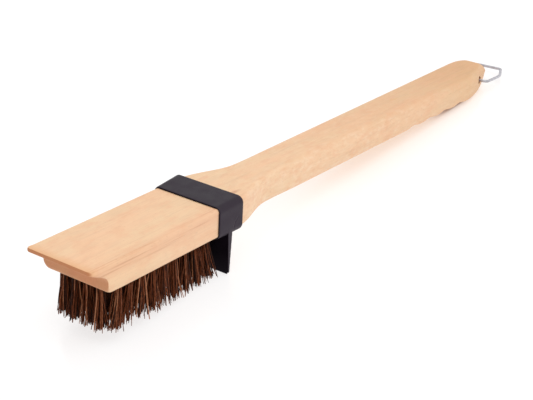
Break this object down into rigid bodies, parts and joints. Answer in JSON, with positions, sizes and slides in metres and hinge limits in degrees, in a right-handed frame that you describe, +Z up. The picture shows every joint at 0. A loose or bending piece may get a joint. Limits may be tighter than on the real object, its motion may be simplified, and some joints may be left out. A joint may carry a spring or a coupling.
{
  "type": "grill cleaning brush",
  "caption": "Long one-piece wooden brush with stiff palm-fibre tufts under the head, a black scraper blade on a collar round its back end, finger grooves and a swinging wire hanging loop.",
  "frame": {"origin": "on the table, under the middle of the brush's box as it lies on its scraper edge and the underside of the handle's end", "axes": "+X along the brush from the head's lip to the hanging loop, +Z up, the middle plane at Y = 0"},
  "size_m": [0.498, 0.0554, 0.0565],
  "materials": {
    "wood": "fine-sanded pale hardwood under a thin satin lacquer, with short reddish-brown streaks along the grain",
    "fibre": "coarse round palm fibres, matt, light to dark brown",
    "resin": "black moulded resin with a fine satin texture",
    "wire": "bright drawn spring wire",
    "screw": "zinc-plated steel"
  },
  "bodies": {
    "brush": {"wooden_body": "wood", "scraper_collar": "resin", "collar_screw_near": "screw", "collar_screw_far": "screw", "tuft_r1_c01": "fibre", "tuft_r2_c01": "fibre", "tuft_r3_c01": "fibre", "tuft_r4_c01": "fibre", "tuft_r1_c02": "fibre", "tuft_r2_c02": "fibre", "tuft_r3_c02": "fibre", "tuft_r4_c02": "fibre", "tuft_r5_c02": "fibre", "tuft_r1_c03": "fibre", "tuft_r2_c03": "fibre", "tuft_r3_c03": "fibre", "tuft_r4_c03": "fibre", "tuft_r5_c03": "fibre", "tuft_r1_c04": "fibre", "tuft_r2_c04": "fibre", "tuft_r3_c04": "fibre", "tuft_r4_c04": "fibre", "tuft_r5_c04": "fibre", "tuft_r1_c05": "fibre", "tuft_r2_c05": "fibre", "tuft_r3_c05": "fibre", "tuft_r4_c05": "fibre", "tuft_r5_c05": "fibre", "tuft_r1_c06": "fibre", "tuft_r2_c06": "fibre", "tuft_r3_c06": "fibre", "tuft_r4_c06": "fibre", "tuft_r5_c06": "fibre", "tuft_r1_c07": "fibre", "tuft_r2_c07": "fibre", "tuft_r3_c07": "fibre", "tuft_r4_c07": "fibre", "tuft_r5_c07": "fibre", "tuft_r1_c08": "fibre", "tuft_r2_c08": "fibre", "tuft_r3_c08": "fibre", "tuft_r4_c08": "fibre", "tuft_r5_c08": "fibre", "tuft_r1_c09": "fibre", "tuft_r2_c09": "fibre", "tuft_r3_c09": "fibre", "tuft_r4_c09": "fibre", "tuft_r5_c09": "fibre", "tuft_r1_c10": "fibre", "tuft_r2_c10": "fibre", "tuft_r3_c10": "fibre", "tuft_r4_c10": "fibre", "tuft_r5_c10": "fibre"},
    "loop": {"hanging_loop": "wire"}
  },
  "joints": [
    {"name": "loop_swing", "type": "hinge", "parent": "brush", "child": "loop", "pos_m": [0.20649, 0, 0.01083], "axis": [0, 1, 0], "range_deg": [-155, 140]}
  ]
}
